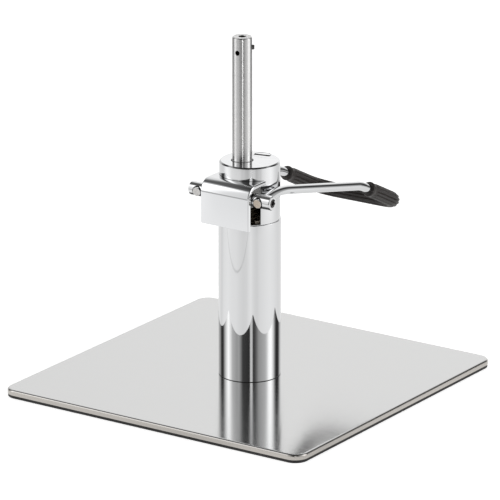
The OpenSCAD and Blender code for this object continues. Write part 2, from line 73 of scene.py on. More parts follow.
plate_lo, plate_hi = span("base_cover")
strip_lo, strip_hi = span("base_gasket")
sleeve_lo, sleeve_hi = span("column_sleeve")
head_lo, head_hi = span("head_shell")
cover_lo, cover_hi = span("cover_plate")
stem_lo, stem_hi = span("piston_shaft")
barrel_lo, barrel_hi = span("cylinder_barrel")
shaft_lo, shaft_hi = span("cross_shaft")
clips_lo, clips_hi = span("shaft_clips")
set_lo, set_hi = span("rod_set_screws")
rod_lo, rod_hi = span("pedal_bar")
grip_lo, grip_hi = span("pedal_grip")
plug_lo, plug_hi = span("filler_plug")
spring_lo, spring_hi = span("plunger_spring")
finger_lo, finger_hi = span("cam_finger")
wiper_lo, wiper_hi = span("wiper_ring")

plate_top = plate_hi.z
column_r = sleeve_hi.x
sleeve_in_r = column_r - 2.5
head_r = head_hi.x
head_top = head_hi.z
seam_z = sleeve_hi.z
stem_x = (stem_lo.x + stem_hi.x) / 2
stem_y = (stem_lo.y + stem_hi.y) / 2
stem_r = (stem_hi.x - stem_lo.x) / 2
wiper_r = (wiper_hi.x - wiper_lo.x) / 2
barrel_r = (barrel_hi.x - barrel_lo.x) / 2
pivot_y = (shaft_lo.y + shaft_hi.y) / 2
pivot_z = (shaft_lo.z + shaft_hi.z) / 2
lever_r = (shaft_hi.z - shaft_lo.z) / 2
rod_r = 6.5
grip_r = rod_r + (grip_hi.y - rod_hi.y)
arm_x = set_hi.x - 12.5
plug_x = (plug_lo.x + plug_hi.x) / 2
plug_y = (plug_lo.y + plug_hi.y) / 2
plug_r = (plug_hi.x - plug_lo.x) / 2
pedal_half_w = rod_hi.x - rod_r - 0.02
pedal_reach = rod_hi.y - rod_r - 0.02
finger_x = 18.0
rod_tilt = math.radians(6.3)
rod_way = Vector((0, math.cos(rod_tilt), math.sin(rod_tilt)))
foot_z = rod_lo.z + rod_r + 0.02

# Camera, at the usual three-quarter view from the front left
CAMERA_AZIMUTH = math.radians(34.0947)
CAMERA_ELEVATION = math.radians(17.796)
CAMERA_LENS = 362.25


# ---------------------------------------------------------------- mesh helpers


def make_object(name, verts, faces):
    """A smooth shaded mesh from points in millimetres."""
    mesh = bpy.data.meshes.new(name)
    mesh.from_pydata([[c * MM for c in v] for v in verts], [], faces)
    mesh.validate()
    mesh.update()
    bm = bmesh.new()
    bm.from_mesh(mesh)
    bmesh.ops.recalc_face_normals(bm, faces=bm.faces)
    bm.to_mesh(mesh)
    bm.free()
    mesh.shade_smooth()
    obj = bpy.data.objects.new(name, mesh)
    scene.collection.objects.link(obj)
    return obj


def frame_for(direction):
    """Two unit vectors square to a direction."""
    w = Vector(direction).normalized()
    helper = Vector((0, 0, 1)) if abs(w.z) < 0.9 else Vector((1, 0, 0))
    u = helper.cross(w).normalized()
    return u, w.cross(u), w


def lathe(name, profile, origin=(0, 0, 0), axis=(0, 0, 1), segments=128, closed=False):
    """Turns (radius, height) points about an axis. Radius 0 gives a pole."""
    u, v, w = frame_for(axis)
    if tuple(axis) == (0, 0, 1):
        u, v, w = Vector((1, 0, 0)), Vector((0, 1, 0)), Vector((0, 0, 1))
    o = Vector(origin)
    verts, rings, faces = [], [], []
    for r, h in profile:
        if r <= 1e-6:
            rings.append([len(verts)])
            verts.append(o + w * h)
            continue
        start = len(verts)
        for i in range(segments):
            a = TAU * i / segments
            verts.append(o + u * (r * math.cos(a)) + v * (r * math.sin(a)) + w * h)
        rings.append(list(range(start, start + segments)))
    pairs = list(zip(rings, rings[1:]))
    if closed:
        pairs.append((rings[-1], rings[0]))
    for a, b in pairs:
        if len(a) == 1 and len(b) == 1:
            continue
        for i in range(segments):
            j = (i + 1) % segments
            if len(a) == 1:
                faces.append([a[0], b[i], b[j]])
            elif len(b) == 1:
                faces.append([a[i], a[j], b[0]])
            else:
                faces.append([a[i], a[j], b[j], b[i]])
    return make_object(name, verts, faces)


def ring_sweep(name, rings, closed=False, cap=True):
    """Joins rings of points that each have the same count."""
    verts, faces = [], []
    n = len(rings[0])
    for ring in rings:
        verts.extend(ring)
    count = len(rings)
    last = count if closed else count - 1
    for k in range(last):
        a, b = k * n, ((k + 1) % count) * n
        for i in range(n):
            j = (i + 1) % n
            faces.append([a + i, a + j, b + j, b + i])
    if cap and not closed:
        faces.append(list(range(n - 1, -1, -1)))
        faces.append(list(range((count - 1) * n, count * n)))
    return make_object(name, verts, faces)


def box_object(name, lo, hi):
    """A cutter in the shape of a block."""
    x0, y0, z0 = lo
    x1, y1, z1 = hi
    ring = [(x0, y0), (x1, y0), (x1, y1), (x0, y1)]
    return ring_sweep(name, [[(x, y, z) for x, y in ring] for z in (z0, z1)])


def bake(obj):
    """Applies the modifiers of an object to its mesh."""
    bpy.context.view_layer.update()
    graph = bpy.context.evaluated_depsgraph_get()
    mesh = bpy.data.meshes.new_from_object(obj.evaluated_get(graph))
    obj.modifiers.clear()
    old = obj.data
    obj.data = mesh
    bpy.data.meshes.remove(old)


def cut(obj, *cutters):
    """Takes cutters away from an object and deletes them."""
    for cutter in cutters:
        mod = obj.modifiers.new("cut", "BOOLEAN")
        mod.operation = "DIFFERENCE"
        mod.solver = "EXACT"
        mod.object = cutter
        bake(obj)
        mesh = cutter.data
        bpy.data.objects.remove(cutter)
        bpy.data.meshes.remove(mesh)
    return obj


def round_edges(obj, width, angle=35, segments=3):
    """Small rounded edges with flat faces left flat."""
    bevel = obj.modifiers.new("edges", "BEVEL")
    bevel.width = width * MM
    bevel.segments = segments
    bevel.limit_method = "ANGLE"
    bevel.angle_limit = math.radians(angle)
    bevel.harden_normals = True
    bevel.miter_outer = "MITER_ARC"
    bake(obj)
    return obj


def turned_normals(obj, axes):
    """Exact normals for faces turned about the given (point, direction) axes, flat ones elsewhere."""
    mesh = obj.data
    lines = [(Vector(p) * MM, Vector(d).normalized()) for p, d in axes]
    normals = [None] * len(mesh.loops)
    for face in mesh.polygons:
        best = None
        for p, d in lines:
            rel = face.center - p
            radial = rel - d * rel.dot(d)
            if radial.length < 1e-7:
                continue
            radial.normalize()
            side = abs(face.normal.dot(d.cross(radial)))
            spread = [(mesh.vertices[v].co - p) for v in face.vertices]
            if side < 0.03 and (best is None or side < best[0]):
                best = (side, p, d, face.normal.dot(radial), face.normal.dot(d), spread)
        for k in face.loop_indices:
            if best is None:
                normals[k] = face.normal.copy()
                continue
            _, p, d, out, up, _ = best
            rel = mesh.vertices[mesh.loops[k].vertex_index].co - p
            radial = rel - d * rel.dot(d)
            if radial.length < 1e-7:
                normals[k] = face.normal.copy()
            else:
                normals[k] = (radial.normalized() * out + d * up).normalized()
    mesh.shade_smooth()
    mesh.normals_split_custom_set(normals)
    mesh.update()
    return obj


def crease_normals(obj, angle=30):
    """Smooth shading that breaks at edges sharper than an angle, led by the larger faces."""
    obj.data.shade_smooth()
    obj.data.set_sharp_from_angle(angle=math.radians(angle))
    mod = obj.modifiers.new("weights", "WEIGHTED_NORMAL")
    mod.mode = "FACE_AREA"
    mod.weight = 60
    mod.keep_sharp = True
    bake(obj)
    return obj


# ---------------------------------------------------------------- material helpers


class Graph:
    """Short calls for building a node tree."""

    def __init__(self, tree):
        self.tree = tree
        tree.nodes.clear()

    def add(self, kind, inputs=None, **settings):
        node = self.tree.nodes.new(kind)
        for key, value in settings.items():
            setattr(node, key, value)
        for key, value in (inputs or {}).items():
            self.put(node.inputs[key], value)
        return node

    def put(self, socket, value):
        if isinstance(value, bpy.types.NodeSocket):
            self.tree.links.new(value, socket)
        else:
            socket.default_value = value

    def math(self, operation, a, b=0.0, c=None, clamp=False):
        inputs = {0: a, 1: b}
        if c is not None:
            inputs[2] = c
        return self.add("ShaderNodeMath", inputs, operation=operation, use_clamp=clamp).outputs[0]

    def vector(self, operation, a, b=None, scale=None):
        node = self.add("ShaderNodeVectorMath", {0: a}, operation=operation)
        if b is not None:
            self.put(node.inputs[1], b)
        if scale is not None:
            self.put(node.inputs["Scale"], scale)
        return node.outputs["Value" if operation in ("DOT_PRODUCT", "LENGTH") else "Vector"]

    def split(self, vector):
        return self.add("ShaderNodeSeparateXYZ", {0: vector}).outputs

    def noise(self, vector, scale, detail=2.0, rough=0.5):
        node = self.add(
            "ShaderNodeTexNoise",
            {"Vector": vector, "Scale": scale, "Detail": detail, "Roughness": rough},
        )
        return node.outputs["Fac"]

    def stretch(self, vector, factors):
        return self.vector("MULTIPLY", vector, factors)

    def axis(self, x, y, z):
        """A fixed direction as a socket, since the tangent input ignores a plain value."""
        return self.add("ShaderNodeCombineXYZ", {0: x, 1: y, 2: z}).outputs[0]

    def ramp(self, value, stops):
        node = self.add("ShaderNodeValToRGB", {"Fac": value})
        node.color_ramp.interpolation = "LINEAR"
        elements = node.color_ramp.elements
        while len(elements) > 1:
            elements.remove(elements[-1])
        for k, (place, level) in enumerate(stops):
            e = elements[0] if k == 0 else elements.new(place)
            e.position = place
            colour = level if isinstance(level, tuple) else (level, level, level)
            e.color = (*colour, 1)
        return node.outputs["Color"]

    def remap(self, value, a, b, c, d):
        node = self.add(
            "ShaderNodeMapRange", {"Value": value, 1: a, 2: b, 3: c, 4: d}, clamp=True
        )
        return node.outputs["Result"]

    def fade(self, a, b, share):
        """Goes from a to b as the share goes from 0 to 1."""
        return self.math("MULTIPLY_ADD", share, self.math("SUBTRACT", b, a), a)

    def mix(self, factor, a, b):
        node = self.add("ShaderNodeMix", {0: factor}, data_type="RGBA")
        self.put(node.inputs[6], a)
        self.put(node.inputs[7], b)
        return node.outputs[2]

    def bump(self, height, distance, strength=1.0):
        return self.add(
            "ShaderNodeBump", {"Height": height, "Distance": distance, "Strength": strength}
        ).outputs["Normal"]


def new_material(name):
    material = bpy.data.materials.new(name)
    material.use_nodes = True
    return material, Graph(material.node_tree)


def surface(g, **inputs):
    """A Principled surface wired to the output."""
    names = {
        "colour": "Base Color",
        "metal": "Metallic",
        "rough": "Roughness",
        "aniso": "Anisotropic",
        "tangent": "Tangent",
        "normal": "Normal",
        "coat": "Coat Weight",
        "coat_rough": "Coat Roughness",
        "specular": "Specular IOR Level",
        "sheen": "Sheen Weight",
    }
    bsdf = g.add("ShaderNodeBsdfPrincipled", {names[k]: v for k, v in inputs.items()})
    g.add("ShaderNodeOutputMaterial", {"Surface": bsdf.outputs[0]})
    return bsdf


def rgb(r, g, b):
    return (r, g, b, 1)


def edge_wear(g):
    """0 on flat ground, towards 1 on outside edges."""
    geometry = g.add("ShaderNodeNewGeometry")
    return g.remap(geometry.outputs["Pointiness"], 0.52, 0.60, 0.0, 1.0)


def object_point(g):
    return g.add("ShaderNodeTexCoord").outputs["Object"]


# ---------------------------------------------------------------- materials


def chrome(name, body, top):
    """Bright plating: a mirror with a faint ripple, hairline marks and a little haze. Faces that point up take
    the top colour, a painted tint.
    """
    m, g = new_material(name)
    p = object_point(g)
    ripple = g.noise(p, 22.0, 1.0)
    hair = g.noise(g.stretch(p, (900, 900, 60)), 1.0, 2.0)
    haze = g.remap(g.noise(p, 60.0, 4.0), 0.35, 0.75, 0.02, 0.055)
    height = g.math("ADD", g.math("MULTIPLY", ripple, 1.0), g.math("MULTIPLY", hair, 0.01))
    up = g.split(g.add("ShaderNodeNewGeometry").outputs["Normal"])[2]
    # Painted light and shade: faces that point up take the top colour in place of the body colour.
    tint_with_painted_top = g.mix(g.remap(up, 0.9, 0.99, 0.0, 1.0), rgb(*body), rgb(*top))
    tint_with_painted_top = g.mix(g.math("MULTIPLY", edge_wear(g), 0.5), tint_with_painted_top, rgb(0.85, 0.85, 0.85))
    surface(g, colour=tint_with_painted_top, metal=1.0, rough=haze, normal=g.bump(height, 0.00006, 0.35))
    return m


def brushed_sheet():
    """Stainless sheet: fine straight brush lines along X, duller round the folded rim, where a darker, warmer
    colour is painted shade.
    """
    m, g = new_material("stainless_sheet")
    p = object_point(g)
    up = g.split(g.add("ShaderNodeNewGeometry").outputs["Normal"])[2]
    top = g.remap(up, 0.35, 0.98, 0.0, 1.0)
    fine = g.noise(g.stretch(p, (18, 2600, 2600)), 1.0, 3.0, 0.6)
    broad = g.noise(g.stretch(p, (3, 420, 420)), 1.0, 2.0)
    cloud = g.noise(p, 5.0, 2.0)
    lines = g.math("ADD", g.math("MULTIPLY", fine, 0.7), g.math("MULTIPLY", broad, 0.3))
    rough = g.math("ADD", g.remap(lines, 0.3, 0.7, 0.075, 0.125), g.math("MULTIPLY", cloud, 0.02))
    rough = g.math("ADD", rough, g.math("MULTIPLY", g.math("SUBTRACT", 1.0, top), 0.14))
    shade = g.mix(lines, rgb(0.556, 0.556, 0.554), rgb(0.616, 0.616, 0.612))
    # Painted shade: faces that don't point up take a darker, warmer colour.
    colour = g.mix(top, rgb(0.50, 0.475, 0.445), shade)
    surface(
        g,
        colour=colour,
        metal=1.0,
        rough=rough,
        aniso=g.math("MULTIPLY", top, 0.7),
        tangent=g.axis(0, 1, 0),
        normal=g.bump(lines, 0.00002, 0.25),
    )
    return m


def ground_steel():
    """Ground bar: tight rings round the bar, so that light smears along it."""
    m, g = new_material("ground_steel")
    p = object_point(g)
    rings = g.noise(g.stretch(p, (25, 25, 5200)), 1.0, 3.0, 0.65)
    bands = g.noise(g.stretch(p, (4, 4, 130)), 1.0, 2.0)
    stain = g.noise(p, 45.0, 4.0)
    rough = g.math("ADD", g.remap(rings, 0.3, 0.7, 0.245, 0.265), g.math("MULTIPLY", stain, 0.03))
    shade = g.mix(bands, rgb(0.58, 0.575, 0.572), rgb(0.68, 0.675, 0.67))
    colour = g.mix(edge_wear(g), shade, rgb(0.74, 0.74, 0.74))
    surface(
        g,
        colour=colour,
        metal=1.0,
        rough=rough,
        aniso=0.98,
        tangent=g.axis(0, 0, 1),
        normal=g.bump(rings, 0.00002, 0.02),
    )
    return m


def bright_steel():
    """Turned or drawn steel inside the pump."""
    m, g = new_material("bright_steel")
    p = object_point(g)
    lines = g.noise(g.stretch(p, (60, 60, 1800)), 1.0, 3.0)
    film = g.noise(p, 70.0, 4.0)
    colour = g.mix(film, rgb(0.50, 0.50, 0.49), rgb(0.62, 0.615, 0.60))
    colour = g.mix(edge_wear(g), colour, rgb(0.72, 0.72, 0.71))
    rough = g.remap(lines, 0.3, 0.7, 0.22, 0.38)
    surface(g, colour=colour, metal=1.0, rough=rough, normal=g.bump(lines, 0.00004, 0.3))
    return m


def cut_steel():
    """Sawn and faced end of the pedal rod, a little tarnished."""
    m, g = new_material("cut_steel")
    p = object_point(g)
    arcs = g.noise(g.stretch(p, (2600, 2600, 300)), 1.0, 2.0)
    tarnish = g.noise(p, 320.0, 4.0)
    side = g.remap(g.split(p)[0], -0.02, 0.02, 0.0, 1.0)
    clean = g.mix(side, rgb(0.68, 0.67, 0.655), rgb(0.64, 0.56, 0.475))
    colour = g.mix(g.remap(tarnish, 0.35, 0.7, 0.0, 0.6), clean, g.mix(side, rgb(0.60, 0.585, 0.57), rgb(0.50, 0.43, 0.36)))
    rough = g.remap(arcs, 0.3, 0.7, 0.38, 0.55)
    surface(g, colour=colour, metal=0.85, rough=rough, normal=g.bump(arcs, 0.00005, 0.4))
    return m


def black_steel():
    """Blackened screws and forged lever parts, rubbed bare on their edges."""
    m, g = new_material("black_steel")
    p = object_point(g)
    grain = g.noise(p, 900.0, 4.0)
    patch = g.noise(p, 130.0, 3.0)
    base = g.mix(patch, rgb(0.018, 0.018, 0.020), rgb(0.045, 0.043, 0.042))
    colour = g.mix(g.math("MULTIPLY", edge_wear(g), 0.7), base, rgb(0.36, 0.35, 0.34))
    rough = g.remap(grain, 0.3, 0.7, 0.30, 0.48)
    surface(g, colour=colour, metal=0.75, rough=rough, normal=g.bump(grain, 0.00003, 0.4))
    return m


def painted_shade_black():
    """Near-black painted shade for the parts that only show through the window of the head, and for the faces
    inside hollows.
    """
    m, g = new_material("painted_shade_black")
    p = object_point(g)
    grain = g.noise(p, 800.0, 3.0)
    colour = g.mix(g.noise(p, 110.0, 3.0), rgb(0.020, 0.015, 0.009), rgb(0.032, 0.025, 0.016))
    surface(g, colour=colour, metal=0.0, rough=g.remap(grain, 0.3, 0.7, 0.55, 0.75), specular=0.15,
            normal=g.bump(grain, 0.00003, 0.4))
    return m


def plate_steel():
    """Hot rolled core of the floor plate under a thin coat of paint."""
    m, g = new_material("plate_steel")
    p = object_point(g)
    scale = g.noise(p, 90.0, 6.0, 0.6)
    drips = g.noise(g.stretch(p, (12, 70, 70)), 1.0, 3.0)
    colour = g.mix(scale, rgb(0.030, 0.032, 0.036), rgb(0.075, 0.074, 0.072))
    colour = g.mix(g.remap(drips, 0.62, 0.75, 0.0, 0.6), colour, rgb(0.13, 0.085, 0.06))
    surface(g, colour=colour, metal=0.3, rough=g.remap(scale, 0.3, 0.7, 0.45, 0.7),
            normal=g.bump(scale, 0.0002, 0.4))
    return m


def cast_body():
    """Sand cast and blasted body."""
    m, g = new_material("cast_body")
    p = object_point(g)
    grain = g.noise(p, 520.0, 5.0, 0.62)
    cloud = g.noise(p, 60.0, 3.0)
    base = g.mix(cloud, rgb(0.11, 0.11, 0.11), rgb(0.17, 0.168, 0.165))
    colour = g.mix(g.math("MULTIPLY", edge_wear(g), 0.8), base, rgb(0.42, 0.42, 0.41))
    surface(g, colour=colour, metal=0.7, rough=g.remap(grain, 0.3, 0.7, 0.45, 0.68),
            normal=g.bump(grain, 0.00012, 0.6))
    return m


def greased_casting():
    """Pale casting under old grease."""
    m, g = new_material("greased_casting")
    p = object_point(g)
    grain = g.noise(p, 420.0, 5.0, 0.6)
    film = g.noise(p, 75.0, 4.0)
    colour = g.mix(film, rgb(0.36, 0.31, 0.25), rgb(0.46, 0.41, 0.35))
    surface(g, colour=colour, metal=0.2, rough=g.remap(grain, 0.3, 0.7, 0.4, 0.6),
            normal=g.bump(grain, 0.0001, 0.5))
    return m


def bronze():
    """Bearing bronze with turning lines."""
    m, g = new_material("bronze")
    p = object_point(g)
    lines = g.noise(g.stretch(p, (60, 60, 2100)), 1.0, 3.0)
    patina = g.noise(p, 90.0, 4.0)
    colour = g.mix(patina, rgb(0.50, 0.31, 0.12), rgb(0.66, 0.46, 0.22))
    surface(g, colour=colour, metal=1.0, rough=g.remap(lines, 0.3, 0.7, 0.26, 0.42),
            normal=g.bump(lines, 0.00004, 0.35))
    return m


def rubber(name, dark, light, grain_scale, rough_lo, rough_hi, bump_depth, dust):
    """Moulded rubber: fine grain, cloudy wear and a little dust in streaks."""
    m, g = new_material(name)
    p = object_point(g)
    grain = g.noise(p, grain_scale, 4.0, 0.6)
    cloud = g.noise(p, 38.0, 4.0, 0.55)
    scuff = g.noise(g.stretch(p, (35, 260, 260)), 1.0, 4.0, 0.65)
    colour = g.mix(cloud, rgb(*dark), rgb(*light))
    worn = g.remap(scuff, 0.58, 0.78, 0.0, dust)
    colour = g.mix(worn, colour, rgb(0.16, 0.15, 0.145))
    rough = g.math("ADD", g.remap(grain, 0.3, 0.7, rough_lo, rough_hi), g.math("MULTIPLY", worn, 0.2))
    surface(g, colour=colour, metal=0.0, rough=rough, specular=0.45,
            normal=g.bump(grain, bump_depth, 0.5))
    return m


MATERIALS = {
    "stainless_sheet": brushed_sheet(),
    # The plating's top colour is lighter: painted light on faces that point up.
    "chrome_plate": chrome("chrome_plate", (0.700, 0.705, 0.712), (0.745, 0.75, 0.757)),
    # A lighter copy of the plating for the lever cover, painted light, with a darker top colour as painted
    # shade.
    "chrome_plate_lit_copy": chrome("chrome_plate_lit_copy", (0.785, 0.792, 0.803), (0.71, 0.715, 0.722)),
    "plate_steel": plate_steel(),
    "base_rubber": rubber(
        "base_rubber", (0.006, 0.006, 0.006), (0.014, 0.013, 0.013), 700.0, 0.5, 0.75, 0.0001, 0.35
    ),
    "grip_rubber": rubber(
        "grip_rubber", (0.0155, 0.0120, 0.0108), (0.040, 0.0325, 0.0295), 850.0, 0.34, 0.60, 0.0001, 0.7
    ),
    "seal_rubber": rubber(
        "seal_rubber", (0.008, 0.008, 0.008), (0.018, 0.018, 0.018), 900.0, 0.35, 0.55, 0.00005, 0.15
    ),
    "black_steel": black_steel(),
    "ground_steel": ground_steel(),
    "bright_steel": bright_steel(),
    "cast_body": cast_body(),
    "bronze": bronze(),
    "cut_steel": cut_steel(),
    "painted_shade_black": painted_shade_black(),
    "greased_casting": greased_casting(),
}

slot_of = {part["node"]: part["material_slot"] for part in frame["record"]["subparts"]}


def darken(obj, inside):
    """Painted shade: the near-black finish on the faces whose centre, in millimetres, is inside a hollow."""
    obj.data.materials.append(MATERIALS["painted_shade_black"])
    for face in obj.data.polygons:
        if inside(face.center / MM):
            face.material_index = 1
    return obj


def dress(obj, slot_name, body, *nodes):
    """Gives a new piece its finish and its body, and hides the CAD nodes that it stands for."""
    obj.data.materials.clear()
    obj.data.materials.append(MATERIALS[slot_name])
    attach(obj, body)
    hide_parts(*nodes)
    return obj


# ---------------------------------------------------------------- floor plate


def rounded_square(half, radius, steps=20):
    points = []
    for k, (sx, sy) in enumerate(((1, 1), (-1, 1), (-1, -1), (1, -1))):
        for i in range(steps + 1):
            a = math.radians(90 * k + 90 * i / steps)
            x = sx * (half - radius) + radius * math.cos(a)
            y = sy * (half - radius) + radius * math.sin(a)
            points.append((x, y))
    return points


def square_rings(half, radius, profile):
    """Rings of a rounded square, each (inset, height)."""
    return [
        [(x, y, z) for x, y in rounded_square(half - inset, max(radius - inset, 0.8))]
        for inset, z in profile
    ]


def build_plate():
    half, radius, bend, sheet = plate_hi.x, 20.0, 3.5, 1.5
    z0, z1 = plate_lo.z, plate_top
    profile = [(4.6, z1 - sheet), (bend + 0.02, z1 - sheet)]
    for i in range(9):
        a = math.radians(90 - 90 * i / 8)
        profile.append((bend - (bend - sheet) * math.cos(a), z1 - bend + (bend - sheet) * math.sin(a)))
    profile += [(sheet, z0 + 0.25), (sheet - 0.25, z0), (0.25, z0), (0.0, z0 + 0.25)]
    for i in range(13):
        a = math.radians(90 * i / 12)
        profile.append((bend - bend * math.cos(a), z1 - bend + bend * math.sin(a)))
    profile += [(bend + 0.6, z1), (bend + 1.6, z1)]
    obj = ring_sweep("plate_cover", square_rings(half, radius, profile))
    crease_normals(obj, 40)
    return dress(obj, "stainless_sheet", "pump", "base_cover")


def build_strip():
    half, z0, z1 = strip_hi.x, strip_lo.z, strip_hi.z
    profile = [
        (1.2, z0), (0.35, z0 + 0.4), (0.0, z0 + 1.2), (0.0, z1 - 1.3), (0.25, z1 - 0.5),
        (0.25, z1), (11.4, z1), (11.4, z0 + 0.6), (10.8, z0),
    ]
    rings = square_rings(half, 19.4, profile)
    obj = ring_sweep("plate_strip", rings, closed=True)
    crease_normals(obj, 50)
    return dress(obj, "base_rubber", "pump", "base_gasket")


build_plate()
build_strip()


# ---------------------------------------------------------------- column and head


def build_column():
    r, r_in, z0, z1 = column_r, sleeve_in_r, sleeve_lo.z, sleeve_hi.z
    profile = [
        (r_in, z0), (r - 0.25, z0), (r - 0.07, z0 + 0.07), (r, z0 + 0.25),
        (r, z1 - 0.5), (r - 0.15, z1 - 0.15), (r - 0.5, z1), (r_in, z1),
    ]
    obj = lathe("column_tube", profile, segments=256, closed=True)
    turned_normals(obj, [((0, 0, 0), (0, 0, 1))])
    return dress(obj, "chrome_plate", "pump", "column_sleeve")


def build_head():
    r, z0, z1 = head_r, head_lo.z, head_top
    ceiling = z1 - 15
    profile = [
        (0, ceiling), (37.5, ceiling), (37.5, z0), (40.6, z0), (40.95, z0 + 0.35),
        (40.95, seam_z + 0.05), (r - 0.5, seam_z + 0.05), (r - 0.15, seam_z + 0.2), (r, seam_z + 0.55),
        (r, z1 - 2.1), (r - 0.08, z1 - 1.92), (r - 1.92, z1 - 0.08), (r - 2.1, z1), (0, z1),
    ]
    obj = lathe("head_cap", profile, segments=256)
    axes = [((0, 0, 0), (0, 0, 1)), ((stem_x, stem_y, 0), (0, 0, 1)), ((plug_x, plug_y, 0), (0, 0, 1))]
    bore = [(0, ceiling - 1), (wiper_r + 0.05, ceiling - 1), (wiper_r + 0.05, z1 - 0.35),
            (wiper_r + 0.9, z1 + 0.5), (0, z1 + 0.5)]
    recess = [(0, z1 - 7), (plug_r + 0.04, z1 - 7), (plug_r + 0.04, z1 - 0.35),
              (plug_r + 0.9, z1 + 0.5), (0, z1 + 0.5)]
    hole = [(0, ceiling - 1), (6.5, ceiling - 1), (6.5, z1 - 6), (0, z1 - 6)]
    cut(
        obj,
        box_object("window", (-35, -r - 3, seam_z + 1), (35, -13, z1 - 19.1)),
        lathe("bore", bore, (stem_x, stem_y, 0), segments=96),
        lathe("recess", recess, (plug_x, plug_y, 0), segments=96),
        lathe("hole", hole, (plug_x, plug_y, 0), segments=64),
    )
    turned_normals(obj, axes)
    dress(obj, "chrome_plate", "pump", "head_shell")
    # Painted shade inside the head, below its ceiling.
    return darken(obj, lambda p: math.hypot(p.x, p.y) < 37.6 and p.z < ceiling + 0.1)


def build_plug():
    z0, z1 = plug_lo.z, plug_hi.z
    profile = [
        (0, z0), (6.1, z0), (6.46, z0 + 0.4), (6.46, z1 - 5.8), (plug_r - 0.3, z1 - 5.8),
        (plug_r, z1 - 5.5), (plug_r, z1 - 0.6), (plug_r - 0.2, z1 - 0.2), (plug_r - 0.6, z1), (0, z1),
    ]
    obj = lathe("filler_cap", profile, (plug_x, plug_y, 0), segments=128)
    slot = box_object("slot", (-15, -2.8, z1 - 3.2), (15, 2.8, z1 + 2))
    for v in slot.data.vertices:
        a = math.radians(13)
        x, y = v.co.x, v.co.y
        v.co.x = x * math.cos(a) - y * math.sin(a) + plug_x * MM
        v.co.y = x * math.sin(a) + y * math.cos(a) + plug_y * MM
    cut(obj, slot)
    turned_normals(obj, [((plug_x, plug_y, 0), (0, 0, 1))])
    dress(obj, "chrome_plate", "pump", "filler_plug")

    def in_slot(p):
        a = math.radians(13)
        across = (p.y - plug_y) * math.cos(a) - (p.x - plug_x) * math.sin(a)
        along = math.hypot(p.x - plug_x, p.y - plug_y)
        return abs(across) < 2.85 and along < plug_r - 0.05 and z1 - 3.3 < p.z < z1 - 0.1

    # Painted shade in the slot of the cap.
    return darken(obj, in_slot)


def build_cover():
    """Bent sheet over the lever shaft, cut to fit round the head and the barrel."""
    t, bend, soft = 5.0, 18.0, 2.2
    y0, z0, z1, y1 = cover_lo.y, cover_lo.z, cover_hi.z, cover_hi.y
    cy, cz = y0 + bend, z1 - bend
    steps = 28

    def section(inset):
        outer, inner = [(y0 + inset, z0)], [(y0 + t, z0)]
        for i in range(steps + 1):
            a = math.radians(180 - 90 * i / steps)
            outer.append((cy + (bend - inset) * math.cos(a), cz + (bend - inset) * math.sin(a)))
            inner.append((cy + (bend - t) * math.cos(a), cz + (bend - t) * math.sin(a)))
        outer.append((y1, z1 - inset))
        inner.append((y1, z1 - t))
        return outer + inner[::-1]

    half = cover_hi.x
    side = []
    for i in range(7):
        a = math.radians(90 * i / 6)
        side.append((half - soft + soft * math.sin(a), soft * (1 - math.cos(a))))
    stations = [(-x, d) for x, d in reversed(side)] + side
    obj = ring_sweep("lever_cover", [[(x, y, z) for y, z in section(d)] for x, d in stations])
    low, high = z1 - t - 3, z1 + 3
    around = lathe("around", [(0, low), (head_r + 0.4, low), (head_r + 0.4, high), (0, high)], segments=160)
    cut(around, box_object("tongue", (-34.7, -70, low - 3), (34.7, 0, high + 3)))
    well = lathe("well", [(0, low), (barrel_r + 0.4, low), (barrel_r + 0.4, high), (0, high)],
                 (stem_x, stem_y, 0), segments=96)
    cut(obj, around, well)
    round_edges(obj, 0.4, 50, 3)
    dress(obj, "chrome_plate", "pump", "cover_plate")
    # The lever cover takes the lighter copy of the plating, which is painted light.
    obj.data.materials[0] = MATERIALS["chrome_plate_lit_copy"]
    return obj


build_column()
build_head()
build_plug()
build_cover()


# ---------------------------------------------------------------- stem


def build_stem():
    x, y, r, z0, z1 = stem_x, stem_y, stem_r, stem_lo.z, stem_hi.z
    shoulder = z0 + 30
    profile = [
        (0, z0), (8.4, z0), (9, z0 + 0.6), (9, shoulder), (r - 0.4, shoulder), (r, shoulder + 0.4),
        (r, z1 - 1.2), (r - 0.12, z1 - 0.9), (r - 1.0, z1 - 0.08), (r - 1.2, z1),
        (5.9, z1), (5.1, z1 - 0.8), (5.1, z1 - 34), (0, z1 - 36.5),
    ]
    obj = lathe("stem", profile, (x, y, 0), segments=192)
    cuts, axes = [], [((x, y, 0), (0, 0, 1))]
    for name, angle, height in (("side", -85, z1 - 21), ("key", 35, z1 - 15.5)):
        a = math.radians(angle)
        d = (math.cos(a), math.sin(a), 0)
        o = (x, y, height)
        wide = 0.35 if name == "side" else 0.02
        cuts.append(lathe(name, [(0, 0), (3.4, 0), (3.4, r - 0.6), (3.4 + wide, r + 0.2), (3.4 + wide, r + 2), (0, r + 2)],
                          o, d, 48))
        axes.append((o, d))
    cut(obj, *cuts)
    turned_normals(obj, axes)
    dress(obj, "ground_steel", "stem", "piston_shaft")
    # Painted shade in the bore at the top of the stem.
    return darken(obj, lambda p: p.z > z1 - 37 and p.z < z1 - 0.9 and math.hypot(p.x - x, p.y - y) < r - 0.7)


def build_key():
    """Short socket screw that stands out of the stem and locks the seat."""
    a = math.radians(35)
    d = (math.cos(a), math.sin(a), 0)
    o = (stem_x, stem_y, stem_hi.z - 15.5)
    end = stem_r + 3
    profile = [(0, 5.7), (3.0, 5.7), (3.38, 6.1), (3.38, end - 0.6), (3.2, end - 0.2), (2.8, end), (0, end)]
    obj = lathe("key_pin", profile, o, d, 48)
    socket = lathe("socket", [(0, end - 2.5), (1.9, end - 2.5), (1.9, end - 0.2), (2.2, end + 0.2), (0, end + 0.2)], o, d, 6)
    cut(obj, socket)
    turned_normals(obj, [(o, d)])
    return dress(obj, "black_steel", "stem", "key_screw")


build_stem()
build_key()


# ---------------------------------------------------------------- lever shaft and pedal


